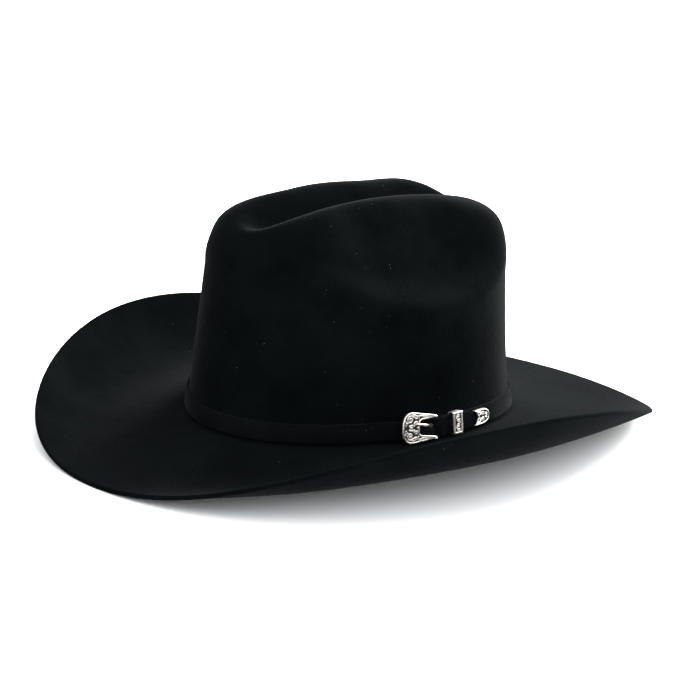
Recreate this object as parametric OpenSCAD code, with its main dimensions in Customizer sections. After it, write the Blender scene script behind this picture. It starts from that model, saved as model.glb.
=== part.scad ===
// Western hat in black felt: a creased crown and a rolled brim blocked from one felt, a felt band
// with a three-piece buckle set on the wearer's left, and a sweatband and lining inside.
// Millimetres. +Z is up, the front faces -Y, and the wearer's left is +X. The hat stands on the
// front and back of its brim at z = 0, and the origin is under the middle of its outline.

/* [Crown] */
// Length of the crown at the brim break, outside the felt
crown_l = 213; // [207:1:220]
// Width of the crown at the brim break, outside the felt
crown_w = 175.5; // [170:0.5:181]
// Height of the crown's ridges
crown_top = 148; // [146:1:153]
// Height at which the wall starts to round over
shoulder_z = 99.7; // [97:0.1:101]
// Squareness of the shoulder: 2 is a half ellipse
shoulder_power = 4.9; // [4.4:0.1:5.3]
// Inward lean of the front wall for each millimetre of height, as a part of the crown's size
lean_front = 0.001; // [0.0008:0.0001:0.0012]
// Inward lean of the back wall for each millimetre of height
lean_back = 0.0003; // [0.0002:0.0001:0.0005]
// How much the back wall flares out at its foot
flare = 0.058; // [0.05:0.002:0.064]
// Height over which that flare dies away
flare_h = 30; // [25:1:34]

/* [Creases] */
// Depth of the centre crease below the ridges
crease_depth = 23.5; // [18:0.5:24.5]
// Half width of the centre crease
crease_w = 13; // [12.5:0.5:16]
// How far a side dent pushes the wall in at its lip, as a part of the crown's width
dent_in = 0.26; // [0.2:0.01:0.28]
// How much more it pushes in towards the ridge
dent_deep = 0.22; // [0.16:0.01:0.24]
// Height of the dents' lower lip in the middle
dent_z = 90.5; // [88:0.5:94]
// Height over which a dent's lip turns in
dent_lip = 18; // [16:1:24]
// Height over which its hollow goes on deepening
dent_hollow = 43; // [38:1:48]

/* [Brim] */
// Length of the brim
brim_l = 394; // [386:1:402]
// Width of the brim across its rolled sides
brim_w = 339; // [333:1:345]
// Height of the brim break above the table, in the middle of the hat's length
break_z = 15.6; // [14.6:0.2:17]
// Height of the rolled sides' edge above that of the front and back
side_rise = 45; // [38:1:48]
// How far the side rolls lean towards the front, as a height
roll_forward = 9.3; // [6:0.1:11]
// Slope at which the brim leaves the crown, in degrees downwards
leave_angle = 10; // [7:1:11]
// Slope of the brim at its edge, averaged round the hat
edge_angle = 27; // [22:1:30]
// How much steeper the edge is at the sides, and flatter at front and back
roll_angle = 29; // [24:1:32]
// Thickness of the felt
felt = 2.6; // [2.2:0.1:3]

/* [Hat band] */
// Width of the band's strap
strap_w = 10.8; // [10.4:0.2:11.2]
// Thickness of the strap
strap_t = 1.2; // [1:0.1:1.2]
// Gap between the strap's lower edge and the brim
strap_lift = 1.6; // [1.5:0.1:1.8]
// Length of the buckle
buckle_l = 23; // [22.4:0.2:23.6]
// Height of the buckle
buckle_w = 18.2; // [17.8:0.2:18.4]
// Radius of the bar that the strap folds round
bar_r = 0.8; // [0.7:0.05:0.9]
// Length of the keeper along the strap
keeper_l = 7.4; // [7:0.2:7.8]
// Length of the metal tip
tip_l = 14.2; // [13.6:0.2:14.8]
// Height of the metal tip, to which the strap tapers
tip_w = 8.8; // [8.4:0.2:9.2]

/* [Inside] */
// Height of the leather sweatband
sweat_h = 47; // [43:1:50]
// Thickness of the sweatband's leather
sweat_t = 1; // [0.8:0.1:1]
// Radius of the reed along the sweatband's lower edge
reed_r = 1; // [0.8:0.1:1]
// Height of the lining's side above the brim break
liner_h = 66; // [60:1:68]
// Rise of the lining's oval tip in its middle
liner_rise = 12; // [8:1:14]

/* [Hidden] */

stations = 72;
step = 360 / stations;
gap = 0.25;

// The break line drops towards the back, and its sides stand higher than its ends.
break_drop = 1.4;
break_saddle = 2.1;

// The shoulder is lower and squarer at the back than at the front.
shoulder_drop = 4.3;
shoulder_square = 0.9;

// The ridges are highest well forward of the middle, and fall away as a curve of these terms.
ridge_y = -31.5;
ridge_fall = [5.6, 3.4, -1.1];

// Fur felt is shaped by hand: the ridge on the wearer's right stands a little higher at the back.
hand_lift = 2.8;
hand_lift_y = 65;
hand_lift_reach = 22;

// The dents run from behind the front pinch to the back quarter of the crown.
dent_front = -112;
dent_front_fade = 84;
dent_back = 103;
dent_back_fade = 87.5;
dent_low_y = -5;
lip_rise_front = 10.8;
lip_rise_back = 9.3;
lip_reach = 60;

// The crease fades out over the front and back of the crown, and narrows towards the back.
crease_front = -101;
crease_front_fade = 45.5;
crease_back = 102.5;
crease_back_fade = 57.5;
crease_foot = 96.5;
crease_foot_fade = 35;
crease_narrow = 0.022;

// Departures of the brim's outline from an ellipse, as it would be seen from above.
outline_long = 4.4;
outline_square = 3;
outline_forward = 1.9;
outline_shift = 4.8;
outline_ends = 6.5;
edge_mid_z = felt + side_rise / 2;
edge_sharp = 2.8;
roll_angle_forward = 31;

// Bezier reach of the brim's section from the break and back from its edge
reach_in = 0.52;
reach_out = 0.4;

// Rows of the felt's surface from the middle of the top to the brim's edge
dome_rows = 12;
wall_rows = 7;
brim_rows = 8;

function smooth(v) = let(c = min(1, max(0, v))) c * c * (3 - 2 * c);
function unit(v) = v / norm(v);
function flat(rows) = [for (row = rows) for (p = row) p];

function break_pt(t) = [crown_w / 2 * cos(t), crown_l / 2 * sin(t),
                        break_z - break_drop * sin(t) + break_saddle * cos(2 * t)];
function out_dir(t) = unit([crown_l * cos(t), crown_w * sin(t), 0]);

// Size of the wall at height h above the break, as a part of its size at the break
function wall_k(t, h) = let(back = (1 + sin(t)) / 2)
    (1 - back) * (1 - lean_front * h)
    + back * (1 - flare * (1 - exp(-h / flare_h)) - lean_back * h);

// A point off the crown's outer wall: h above the break, off outwards
function wall_pt(t, h, off) = let(b = break_pt(t), k = wall_k(t, max(0, h)))
    [b[0] * k, b[1] * k, b[2] + h] + off * out_dir(t);

function ridge_z(y) = let(v = (y - ridge_y) / 100)
    crown_top - ridge_fall[0] * pow(v, 2) - ridge_fall[1] * pow(v, 3) - ridge_fall[2] * pow(v, 4);

// The crown before it is creased: w runs up the wall, a over the top from 0 to 90 degrees
function open_crown(t, w, a) = let(
        b = break_pt(t),
        shoulder = shoulder_z - shoulder_drop * sin(t),
        power = shoulder_power + shoulder_square * sin(t),
        h = w * (shoulder - b[2]),
        k = wall_k(t, h) * pow(cos(a), 2 / power),
        y = b[1] * k,
        rise = pow(sin(a), 2 / power))
    [b[0] * k, y, b[2] + h + (ridge_z(y) - shoulder) * rise];

// The side dents push in, the hand's lift raises one ridge, and the centre crease pushes down.
function creased(p) = let(
        along = smooth((p[1] - dent_front) / dent_front_fade)
              * smooth((dent_back - p[1]) / dent_back_fade),
        past = p[1] - dent_low_y,
        lip = dent_z + (past < 0 ? lip_rise_front : lip_rise_back) * pow(past / lip_reach, 2),
        push = along * (dent_in * smooth((p[2] - lip) / dent_lip)
                        + dent_deep * smooth((p[2] - lip) / dent_hollow)),
        x = p[0] * (1 - push),
        lift = hand_lift * smooth(-p[0] / 20) * smooth((p[2] - shoulder_z) / 30)
             * exp(-pow((p[1] - hand_lift_y) / hand_lift_reach, 2)),
        mouth = smooth((p[1] - crease_front) / crease_front_fade)
              * smooth((crease_back - p[1]) / crease_back_fade)
              * smooth((p[2] + lift - crease_foot) / crease_foot_fade),
        half = crease_w - crease_narrow * p[1])
    [x, p[1], p[2] + lift - crease_depth * mouth * exp(-pow(x / half, 2))];

function edge_pt(t) = [
    cos(t) * (brim_w / 2 - outline_long - outline_square + outline_long * cos(2 * t)
              + outline_square * cos(4 * t) - outline_forward * sin(3 * t) - sin(t)),
    (brim_l / 2 + outline_ends) * sin(t) + outline_ends * sin(3 * t)
              + outline_shift * pow(cos(t), 2),
    edge_mid_z + side_rise / 2 * cos(2 * t) - roll_forward * sin(2 * t) * cos(t)
              + edge_sharp * (cos(4 * t) - 1)];

// The brim's section at t is a cubic from the break to the edge.
function brim_pt(t, s) = let(
        b = break_pt(t),
        e = edge_pt(t),
        way = e - b,
        level = unit([way[0], way[1], 0]),
        span = norm(way),
        a0 = -leave_angle + 2 * cos(2 * t),
        a1 = edge_angle + roll_angle * cos(2 * t) - roll_angle_forward * sin(t) * pow(cos(t), 2),
        c0 = b + reach_in * span * (cos(a0) * level + [0, 0, sin(a0)]),
        c1 = e - reach_out * span * (cos(a1) * level + [0, 0, sin(a1)]))
    pow(1 - s, 3) * b + 3 * s * pow(1 - s, 2) * c0 + 3 * s * s * (1 - s) * c1 + pow(s, 3) * e;

// Rows of the felt's outer face. The wall has an extra row just above the break.
foot_row = 0.035;
dome_angles = [for (i = [1:dome_rows]) 90 * (1 - smooth(i / dome_rows))];
function face_rows() = concat(
    [for (a = dome_angles) [for (i = [0:stations - 1]) creased(open_crown(i * step, 1, a))]],
    [for (w = [for (i = [1:wall_rows - 2]) 1 - i / (wall_rows - 1)])
        [for (i = [0:stations - 1]) creased(open_crown(i * step, w, 0))]],
    [for (w = [foot_row, 0]) [for (i = [0:stations - 1]) open_crown(i * step, w, 0)]],
    [for (j = [1:brim_rows]) [for (i = [0:stations - 1]) brim_pt(i * step, j / brim_rows)]]);

// Direction out of the face at each of its points, from the points round it
function row_out(rows, j, i) = let(
        last = len(rows) - 1,
        ahead = rows[min(last, j + 1)][i] - rows[max(0, j - 1)][i],
        round_it = rows[j][(i + 1) % stations] - rows[j][(i + stations - 1) % stations])
    unit(cross(ahead, round_it));

function under_rows(rows) = [for (j = [0:len(rows) - 1]) [for (i = [0:stations - 1])
    rows[j][i] - felt * row_out(rows, j, i)]];

// Triangles between row j and row j + 1 of a grid of rings; turn swaps their sides
function ring_faces(first, j, turn) = flat([for (i = [0:stations - 1]) let(
        a = first + j * stations + i,
        b = first + j * stations + (i + 1) % stations,
        c = a + stations,
        d = b + stations)
    turn ? [[a, c, b], [b, c, d]] : [[a, b, c], [b, d, c]]]);

// A sheet of felt or cloth: two grids of rings, each closed at its middle by one point
module sheet(top, bottom, top_mid, bottom_mid) {
    rows = len(top);
    size = rows * stations;
    points = concat(flat(top), flat(bottom), [top_mid, bottom_mid]);
    faces = concat(
        flat([for (j = [0:rows - 2]) ring_faces(0, j, false)]),
        flat([for (j = [0:rows - 2]) ring_faces(size, j, true)]),
        [for (i = [0:stations - 1]) [2 * size, (i + 1) % stations, i]],
        [for (i = [0:stations - 1]) [2 * size + 1, size + i, size + (i + 1) % stations]],
        flat([for (i = [0:stations - 1]) let(
                a = (rows - 1) * stations + i,
                b = (rows - 1) * stations + (i + 1) % stations)
            [[a, b, a + size], [b, b + size, a + size]]]));
    polyhedron(points, faces);
}

// A closed hoop round the crown. Each corner of its section is [off the wall, height].
module hoop(section) {
    corners = len(section);
    points = [for (i = [0:stations - 1]) for (q = section) wall_pt(i * step, q[1], q[0])];
    faces = flat([for (i = [0:stations - 1]) for (j = [0:corners - 1]) let(
            a = i * corners + j,
            b = i * corners + (j + 1) % corners,
            c = (i + 1) % stations * corners + j,
            d = (i + 1) % stations * corners + (j + 1) % corners)
        [[a, b, c], [b, d, c]]]);
    polyhedron(points, faces);
}

function disc(centre, r, n) = [for (i = [0:n - 1])
    [centre[0] + r * cos(360 * i / n), centre[1] + r * sin(360 * i / n)]];

module felt_body() color("#1b1b1f") {
    top = face_rows();
    mid = creased([0, 0, ridge_z(0)]);
    sheet(top, under_rows(top), mid, mid - [0, 0, felt]);
}

// ---- Hat band ----
strap_low = gap + strap_t / 2;
fold_r = bar_r + 0.1 + strap_t / 2;
bar_off = strap_low + fold_r;
layer_gap = 0.15;
billet_high = bar_off + fold_r + strap_t + layer_gap;
main_high = strap_low + 1.1;
billet_low = main_high + strap_t + 0.2;

// Where things stand round the crown, in degrees from the wearer's left towards the back
bar_t = -10.4;
buckle_t = -15.2;
keeper_t = -0.8;
tip_t = 11;
fold_end_t = -7.4;
billet_fall = 3.4;
sewn_gap = 0.35;

// How far the strap's lower layer and its upper layer stand off the wall
function main_off(t) = strap_low + (main_high - strap_low)
    * smooth((t - bar_t - 1) / 4) * (1 - smooth((t - 16) / 14));
function billet_off(t) = t < bar_t
    ? strap_low + (billet_high - strap_low) * smooth((t + 31) / 19)
    : fold_off(t) + strap_t + layer_gap + sewn_gap * smooth((t - bar_t) / 1.8)
      - (strap_t + sewn_gap) * smooth((t - fold_end_t) / billet_fall);
function fold_off(t) = let(v = smooth((t - bar_t) / 4.5))
    (bar_off + fold_r) * (1 - v) + (main_high + strap_t + 0.05) * v;

function strap_foot(t, off) = wall_pt(t, strap_lift, off);
function strap_head(t, off) = wall_pt(t, strap_lift + strap_w, off);
function strap_centre(t, off) = (strap_foot(t, off) + strap_head(t, off)) / 2;
function lean_at(t) = let(d = strap_head(t, 0) - strap_foot(t, 0)) atan2(-(d * out_dir(t)), d[2]);
function turn_at(t) = let(n = out_dir(t)) atan2(n[1], n[0]);

// Local frame on the band: x outwards, y towards the back, z up the wall
module on_band(t, off, face_t) {
    translate(strap_centre(t, off)) rotate([0, -lean_at(face_t), turn_at(face_t)]) children();
}

// One station of the strap: four corners, side being the face on the path's left
function station(t, off, side, half) = let(
        c = strap_centre(t, off),
        up = unit(strap_head(t, off) - strap_foot(t, off)) * half,
        n = side * out_dir(t) * strap_t / 2)
    [c + n - up, c + n + up, c - n + up, c - n - up];
function fold_station(a) = let(
        face = turn_at(buckle_t),
        lean = lean_at(buckle_t),
        n = [cos(face + a), sin(face + a), 0],
        up = [-sin(lean) * cos(face), -sin(lean) * sin(face), cos(lean)] * strap_w / 2,
        c = strap_centre(bar_t, bar_off) + fold_r * n,
        half_t = n * strap_t / 2)
    [c + half_t - up, c + half_t + up, c - half_t + up, c - half_t - up];

// The strap runs from its sewn end forward to the bar, round it, once round the crown, under the
// buckle's plate and over the bar, and through the keeper to the metal tip.
strap_half = strap_w / 2;
tip_half = tip_w / 2;
strap_path = concat(
    [for (t = [fold_end_t, -8.2, -8.9, -9.6]) station(t, fold_off(t), 1, strap_half)],
    [for (a = [0:-30:-180]) fold_station(a)],
    [for (t = [-9.2, -7.6, -6, -4, -2, 0, 2]) station(t, main_off(t), -1, strap_half)],
    [for (t = [step:step:330 - step]) station(t, main_off(t), -1, strap_half)],
    [for (t = [-30:2:-12]) station(t, billet_off(t), -1, strap_half)],
    [for (t = [bar_t, -9, -8, -7, -6, -5, -4, -2.5, 0, 2]) station(t, billet_off(t), -1, strap_half)],
    [for (q = [[4, -0.5], [5.9, 0.1], [6.2, 0.8], [10, 0.9], [11.6, 1.4], [12.7, 2.6], [13.2, 3.3]])
        station(q[0], billet_off(q[0]), -1, tip_half - q[1])]);

module strap_blank() {
    n = len(strap_path);
    points = flat(strap_path);
    faces = concat(
        [[0, 1, 2], [0, 2, 3]],
        flat([for (i = [0:n - 2]) for (j = [0:3]) let(
                a = 4 * i + j,
                b = 4 * i + (j + 1) % 4)
            [[a, a + 4, b], [b, a + 4, b + 4]]]),
        [[4 * n - 4, 4 * n - 2, 4 * n - 3], [4 * n - 4, 4 * n - 1, 4 * n - 2]]);
    polyhedron(points, faces);
}

prong_w = 1.6;
slot_w = 2.2;
// The prong's eye sits a little above the middle of the strap, and its shank is bent up towards the heel.
prong_z = 0.9;
prong_bend = 0.21;
module prong_set() translate([0, 0, prong_z])
    multmatrix([[1, 0, 0, 0], [0, 1, 0, 0], [0, -prong_bend, 1, 0]]) children();

module band_strap() color("#26262a") difference() {
    strap_blank();
    on_band(bar_t, bar_off, buckle_t) prong_set() {
        cube([4.9, 4.6, slot_w + 0.9], center = true);
        translate([1, -7.4, -slot_w / 2]) cube([4, 5.2, slot_w]);
        translate([fold_r + strap_t / 2 + 0.03, -2.4, -slot_w / 2]) cube([3, 2.4, slot_w]);
    }
    rivet_places() cylinder(h = 4, r = rivet_r + 0.1, center = true, $fn = 24);
}

module band_tacks() color("#101014")
    for (t = [40, 90, 140, 220, 270, 315])
        translate(wall_pt(t, strap_lift + strap_w + 0.5, 0.55))
            rotate([90, 0, turn_at(t)]) cylinder(h = 3, r = 0.3, center = true, $fn = 16);

plate_in = fold_r + strap_t / 2 + layer_gap + strap_t + 0.5;
plate_t = 1.2;
heel_l = 11.4;
arm_back = 0.8;
buckle_rise = 0.8;
// The plate is set a little askew on the strap, its heel up.
plate_tilt = -2.5;
// The lugs that hold the bar stand just clear of the strap, above it and below it.
lug_top = strap_w / 2 + 0.5 - buckle_rise;
lug_foot = strap_w / 2 + 0.55 + buckle_rise;
lug_t = [1.1, 0.7];

module buckle_plate() {
    front = arm_back - buckle_l;
    half = buckle_w / 2;
    nose = 6;
    arm_in = 4.3;
    arm_out = half - 0.8;
    arm_end = [0.7, 0.75];
    difference() {
        union() {
            hull() {
                for (z = [-1, 1]) translate([front + nose, z * (half - nose)]) circle(r = nose, $fn = 48);
                translate([front + heel_l - 1, -arm_out]) square([1, 2 * arm_out]);
            }
            for (z = [-1, 1]) hull() {
                translate([front + heel_l - 2, z > 0 ? arm_in : -arm_out]) square([1, arm_out - arm_in]);
                translate([arm_back - arm_end[0], z * 6.1]) scale(arm_end) circle(r = 1, $fn = 24);
            }
        }
        translate([front + heel_l, 2]) circle(r = 1.3, $fn = 32);
    }
}

module lug(t) {
    cylinder(h = t, r = bar_r + 0.8, $fn = 48);
    translate([0, -1.5, 0]) cube([plate_in + 0.2, 2.6, t]);
}

module buckle_frame() color("#c9c7c2")
    on_band(bar_t, bar_off, buckle_t) translate([0, 0, buckle_rise]) difference() {
        union() {
            rotate([plate_tilt, 0, 0]) translate([plate_in, 0, 0]) rotate([90, 0, 90])
                linear_extrude(plate_t) buckle_plate();
            translate([0, 0, lug_top]) lug(lug_t[0]);
            translate([0, 0, -lug_foot - lug_t[1]]) lug(lug_t[1]);
        }
        cylinder(h = 2 * buckle_w, r = bar_r, center = true, $fn = 48);
    }

module buckle_bar() color("#b4b2ad")
    on_band(bar_t, bar_off, buckle_t) translate([0, 0, buckle_rise - lug_foot - lug_t[1]])
        cylinder(h = lug_foot + lug_top + lug_t[0] + lug_t[1], r = bar_r, $fn = 48);

module buckle_prong() color("#d4d2cd")
    on_band(bar_t, bar_off, buckle_t) difference() {
        top = plate_in + plate_t;
        union() {
            translate([0, 0, prong_z]) cylinder(h = prong_w, r = bar_r + 0.7, center = true, $fn = 48);
            prong_set() translate([0, 0, -prong_w / 2]) linear_extrude(prong_w) polygon([
                [bar_r + 0.7, 0], [bar_r + 0.6, -0.8], [top + 0.75, -9], [top + 0.8, -11.2],
                [top + 0.35, -12.4], [top + 0.1, -12], [top + 0.05, -8.6], [-0.3, -1.2]]);
        }
        translate([0, 0, prong_z]) cylinder(h = 4, r = bar_r + 0.06, center = true, $fn = 48);
    }

keeper_off = (main_high + billet_low) / 2;
keeper_in = (billet_low - main_high + strap_t) / 2;

keeper_head = 1;
keeper_foot = 1.15;

module keeper_loop() color("#c9c7c2") on_band(keeper_t, keeper_off, keeper_t) {
    back = -keeper_in - 0.4;
    front = keeper_in + 0.35;
    half = strap_w / 2;
    difference() {
        translate([back - 0.55, -keeper_l / 2, -half - keeper_foot])
            cube([front - back + 1.5, keeper_l, strap_w + keeper_foot + keeper_head]);
        translate([back, -keeper_l, -half - 0.4])
            cube([front - back, 2 * keeper_l, strap_w + 0.8]);
    }
}

tip_in = strap_t / 2 + 0.1;
tip_face_t = 0.9;
rivet_r = 0.4;

module tip_outline(inset) difference() {
    hull() {
        translate([-tip_l / 2, inset - tip_half]) square([3, 2 * (tip_half - inset)]);
        circle(r = tip_half - inset, $fn = 48);
        translate([tip_l / 2 - 2.8, 0]) circle(r = 2.8 - inset, $fn = 48);
    }
    if (inset == 0) translate([-tip_l / 2 - 0.6, 0]) scale([4.2, 3.4]) circle(r = 1, $fn = 48);
}

// An open-backed shell over the strap's end
module strap_tip() color("#c9c7c2") on_band(tip_t, billet_low, tip_t) rotate([90, 0, 90]) difference() {
    translate([0, 0, -strap_t / 2]) linear_extrude(tip_in + tip_face_t + strap_t / 2) tip_outline(0);
    translate([0, 0, -strap_t]) linear_extrude(tip_in + strap_t) {
        tip_outline(0.4);
        translate([-tip_l, 0.4 - tip_half]) square([tip_l, tip_w - 0.8]);
    }
}

module rivet_places() on_band(tip_t, billet_low, tip_t)
    for (z = [-2.2, 2.2]) translate([0, -1.2, z]) rotate([0, 90, 0]) children();

module tip_rivets() color("#b4b2ad")
    rivet_places() translate([0, 0, -strap_t / 2]) cylinder(h = strap_t + 0.05, r = rivet_r, $fn = 24);

sewn_t = -8;
module fold_stitches() color("#101014")
    on_band(sewn_t, fold_off(sewn_t) + strap_t / 2 + 0.25, sewn_t) for (z = [-4:2:4])
        translate([0, 0, z]) cylinder(h = 1.4, r = 0.15, center = true, $fn = 16);

// ---- Inside the crown ----
felt_in = -felt - gap - 0.05;
tape_t = 0.33;
reed_off = felt_in - tape_t - 0.12 - reed_r;
reed_h = -1.2;
tape_h = 4;
tape_r = reed_r + 0.12;
sweat_out = felt_in - tape_t - 0.27;

// Section of a thin sheet against the wall: heights going up its outer face and down its inner
function sheet_section(heights, out, t) = let(n = len(heights)) concat(
    [for (h = heights) [out, h]],
    [for (i = [n - 1:-1:0]) [out - t, heights[i]]]);

module sweatband() color("#2a211c")
    hoop(sheet_section([0.1, tape_h, 14, 27, sweat_h], sweat_out, sweat_t));

module sweatband_reed() color("#e8e4da") hoop([for (q = disc([reed_off, reed_h], reed_r, 8)) [q[0], q[1]]]);

// The tape holds the reed in a loop and stands up between the leather and the felt.
module reed_tape() color("#17171a") {
    under = [for (a = [-180:45:0]) [cos(a), sin(a)]];
    hoop(concat(
        [for (u = under) [reed_off, reed_h] + (tape_r + tape_t) * u],
        [for (h = [0.1, tape_h]) [reed_off + tape_r + tape_t, h]],
        [for (h = [tape_h, 0.1]) [reed_off + tape_r, h]],
        [for (i = [4:-1:0]) [reed_off, reed_h] + tape_r * under[i]]));
}

stitch_count = 90;
module sweatband_stitches() color("#4a4038")
    for (i = [0:stitch_count - 1]) let(t = 360 * i / stitch_count)
        translate(wall_pt(t, 2.2, sweat_out - sweat_t - 0.35))
            rotate([90, 0, turn_at(t)]) cylinder(h = 3.4, r = 0.2, center = true, $fn = 16);

// Small ribbon bow at the back, over the sweatband's joint
module sweatband_bow() color("#141417")
    translate(wall_pt(90, sweat_h - 12, sweat_out - sweat_t - 2.4)) {
        translate([-2, -0.8, -2.5]) cube([4, 2.8, 5]);
        for (side = [-1, 1]) translate([side * 2.05, 0, 0]) rotate([90, 0, 0])
            linear_extrude(0.8, center = true)
                polygon([[0, -1.5], [side * 9, -4], [side * 9, 4], [0, 1.5]]);
    }

module back_seam() color("#4a4038")
    for (i = [0:5]) translate(wall_pt(90, 5 + 4.4 * i, sweat_out - sweat_t - 0.6))
        rotate([0, i % 2 == 0 ? 50 : -50, 0]) cylinder(h = 3.6, r = 0.2, center = true, $fn = 16);

liner_out = -felt - gap;
liner_t = 0.3;
liner_top_off = liner_out - 2.4;

module liner_side() color("#6b6a70")
    hoop(concat(
        [[liner_out, 14], [liner_out, 27], [liner_out, sweat_h], [liner_top_off, liner_h]],
        [[liner_top_off - liner_t, liner_h], [liner_out - liner_t, sweat_h],
         [liner_out - liner_t, 27], [liner_out - liner_t, 14]]));

module liner_piping() color("#19191c")
    hoop([for (q = disc([liner_top_off - 0.6, liner_h + 1.1], 0.8, 8)) [q[0], q[1]]]);

liner_tip_rows = 6;
liner_tip_off = liner_top_off - 1.8;
function tip_row(v, drop) = [for (i = [0:stations - 1]) let(p = wall_pt(i * step, liner_h, liner_tip_off))
    [p[0] * v, p[1] * v, p[2] + 1.2 + liner_rise * (1 - v * v) - drop]];

module liner_tip() color("#6b6a70") {
    top = [for (j = [1:liner_tip_rows]) tip_row(j / liner_tip_rows, 0)];
    bottom = [for (j = [1:liner_tip_rows]) tip_row(j / liner_tip_rows, liner_t)];
    mid = [0, 0, break_z + liner_h + 1.2 + liner_rise];
    sheet(top, bottom, mid, mid - [0, 0, liner_t]);
}

felt_body();
band_strap();
band_tacks();
buckle_frame();
buckle_bar();
buckle_prong();
keeper_loop();
strap_tip();
tip_rivets();
fold_stitches();
sweatband();
sweatband_stitches();
sweatband_reed();
reed_tape();
sweatband_bow();
back_seam();
liner_side();
liner_tip();
liner_piping();
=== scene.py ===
"""Black felt Western hat: the looks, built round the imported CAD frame.

Lengths in the shape functions are millimetres.
"""

import bmesh
import bpy
import numpy as np
from mathutils import Matrix, Vector


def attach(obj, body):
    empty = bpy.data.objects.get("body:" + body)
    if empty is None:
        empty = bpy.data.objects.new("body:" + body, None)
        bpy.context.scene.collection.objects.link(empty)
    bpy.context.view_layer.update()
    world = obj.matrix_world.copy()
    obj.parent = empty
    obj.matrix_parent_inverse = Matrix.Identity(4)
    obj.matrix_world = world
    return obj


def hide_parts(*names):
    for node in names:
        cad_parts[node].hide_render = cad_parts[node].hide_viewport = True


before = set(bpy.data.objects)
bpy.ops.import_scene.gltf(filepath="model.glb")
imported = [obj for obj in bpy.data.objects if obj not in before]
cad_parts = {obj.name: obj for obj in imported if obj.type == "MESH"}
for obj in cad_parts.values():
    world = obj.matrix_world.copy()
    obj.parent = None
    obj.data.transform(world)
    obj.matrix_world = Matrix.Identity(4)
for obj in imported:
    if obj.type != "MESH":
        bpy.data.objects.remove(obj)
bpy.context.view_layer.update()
MM = 0.001

# ---- The hat's sizes, as in the CAD source ----
CROWN_L, CROWN_W, CROWN_TOP = 213, 175.5, 148
SHOULDER_Z, SHOULDER_DROP, SHOULDER_POWER, SHOULDER_SQUARE = 99.7, 4.3, 4.9, 0.9
LEAN_FRONT, LEAN_BACK, FLARE, FLARE_H = 0.001, 0.0003, 0.058, 30
CREASE_DEPTH, CREASE_W, CREASE_NARROW = 23.5, 13, 0.022
DENT_IN, DENT_DEEP, DENT_Z, DENT_LIP, DENT_HOLLOW = 0.26, 0.22, 90.5, 18, 43
HAND_LIFT = 2.8
BRIM_L, BRIM_W, BREAK_Z, SIDE_RISE, ROLL_FORWARD = 394, 339, 15.6, 45, 9.3
LEAVE_ANGLE, EDGE_ANGLE, ROLL_ANGLE, ROLL_ANGLE_FORWARD = 10, 27, 29, 31
FELT = 2.6
STRAP_W, STRAP_T, STRAP_LIFT = 10.8, 1.2, 1.6
BAR_R = 0.8
GAP = 0.25
SWEAT_H, SWEAT_T, REED_R, LINER_H, LINER_RISE = 47, 1, 1, 66, 12


def smooth(v):
    c = np.clip(v, 0, 1)
    return c * c * (3 - 2 * c)


def unit(v):
    return v / np.linalg.norm(v, axis=-1, keepdims=True)


def vec(x, y, z):
    return np.stack(np.broadcast_arrays(x, y, z), -1).astype(float)


def col(a):
    return np.asarray(a)[..., None]


def break_pt(t):
    c, s = np.cos(t), np.sin(t)
    return vec(CROWN_W / 2 * c, CROWN_L / 2 * s, BREAK_Z - 1.4 * s + 2.1 * np.cos(2 * t))


def out_dir(t):
    return unit(vec(CROWN_L * np.cos(t), CROWN_W * np.sin(t), 0))


def wall_k(t, h):
    back = (1 + np.sin(t)) / 2
    return (1 - back) * (1 - LEAN_FRONT * h) + back * (1 - FLARE * (1 - np.exp(-h / FLARE_H)) - LEAN_BACK * h)


def wall_pt(t, h, off):
    b = break_pt(t)
    k = wall_k(t, np.maximum(0, h))
    return vec(b[..., 0] * k, b[..., 1] * k, b[..., 2] + h) + col(off) * out_dir(t)


def ridge_z(y):
    v = (y + 31.5) / 100
    return CROWN_TOP - 5.6 * v**2 - 3.4 * v**3 + 1.1 * v**4


def open_crown(t, w, a):
    b = break_pt(t)
    shoulder = SHOULDER_Z - SHOULDER_DROP * np.sin(t)
    power = SHOULDER_POWER + SHOULDER_SQUARE * np.sin(t)
    h = w * (shoulder - b[..., 2])
    k = wall_k(t, h) * np.cos(a) ** (2 / power)
    y = b[..., 1] * k
    rise = np.sin(a) ** (2 / power)
    return vec(b[..., 0] * k, y, b[..., 2] + h + (ridge_z(y) - shoulder) * rise)


def creased(p):
    x, y, z = p[..., 0], p[..., 1], p[..., 2]
    along = smooth((y + 112) / 84) * smooth((103 - y) / 87.5)
    past = y + 5
    lip = DENT_Z + np.where(past < 0, 10.8, 9.3) * (past / 60) ** 2
    push = along * (DENT_IN * smooth((z - lip) / DENT_LIP) + DENT_DEEP * smooth((z - lip) / DENT_HOLLOW))
    lift = HAND_LIFT * smooth(-x / 20) * smooth((z - SHOULDER_Z) / 30) * np.exp(-(((y - 65) / 22) ** 2))
    x, z = x * (1 - push), z + lift
    mouth = smooth((y + 101) / 45.5) * smooth((102.5 - y) / 57.5) * smooth((z - 96.5) / 35)
    return vec(x, y, z - CREASE_DEPTH * mouth * np.exp(-((x / (CREASE_W - CREASE_NARROW * y)) ** 2)))


def edge_pt(t):
    c, s = np.cos(t), np.sin(t)
    return vec(
        c * (BRIM_W / 2 - 7.4 + 4.4 * np.cos(2 * t) + 3 * np.cos(4 * t) - 1.9 * np.sin(3 * t) - s),
        (BRIM_L / 2 + 6.5) * s + 6.5 * np.sin(3 * t) + 4.8 * c * c,
        FELT + SIDE_RISE / 2 * (1 + np.cos(2 * t)) - ROLL_FORWARD * np.sin(2 * t) * c
        + 2.8 * (np.cos(4 * t) - 1),
    )


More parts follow.
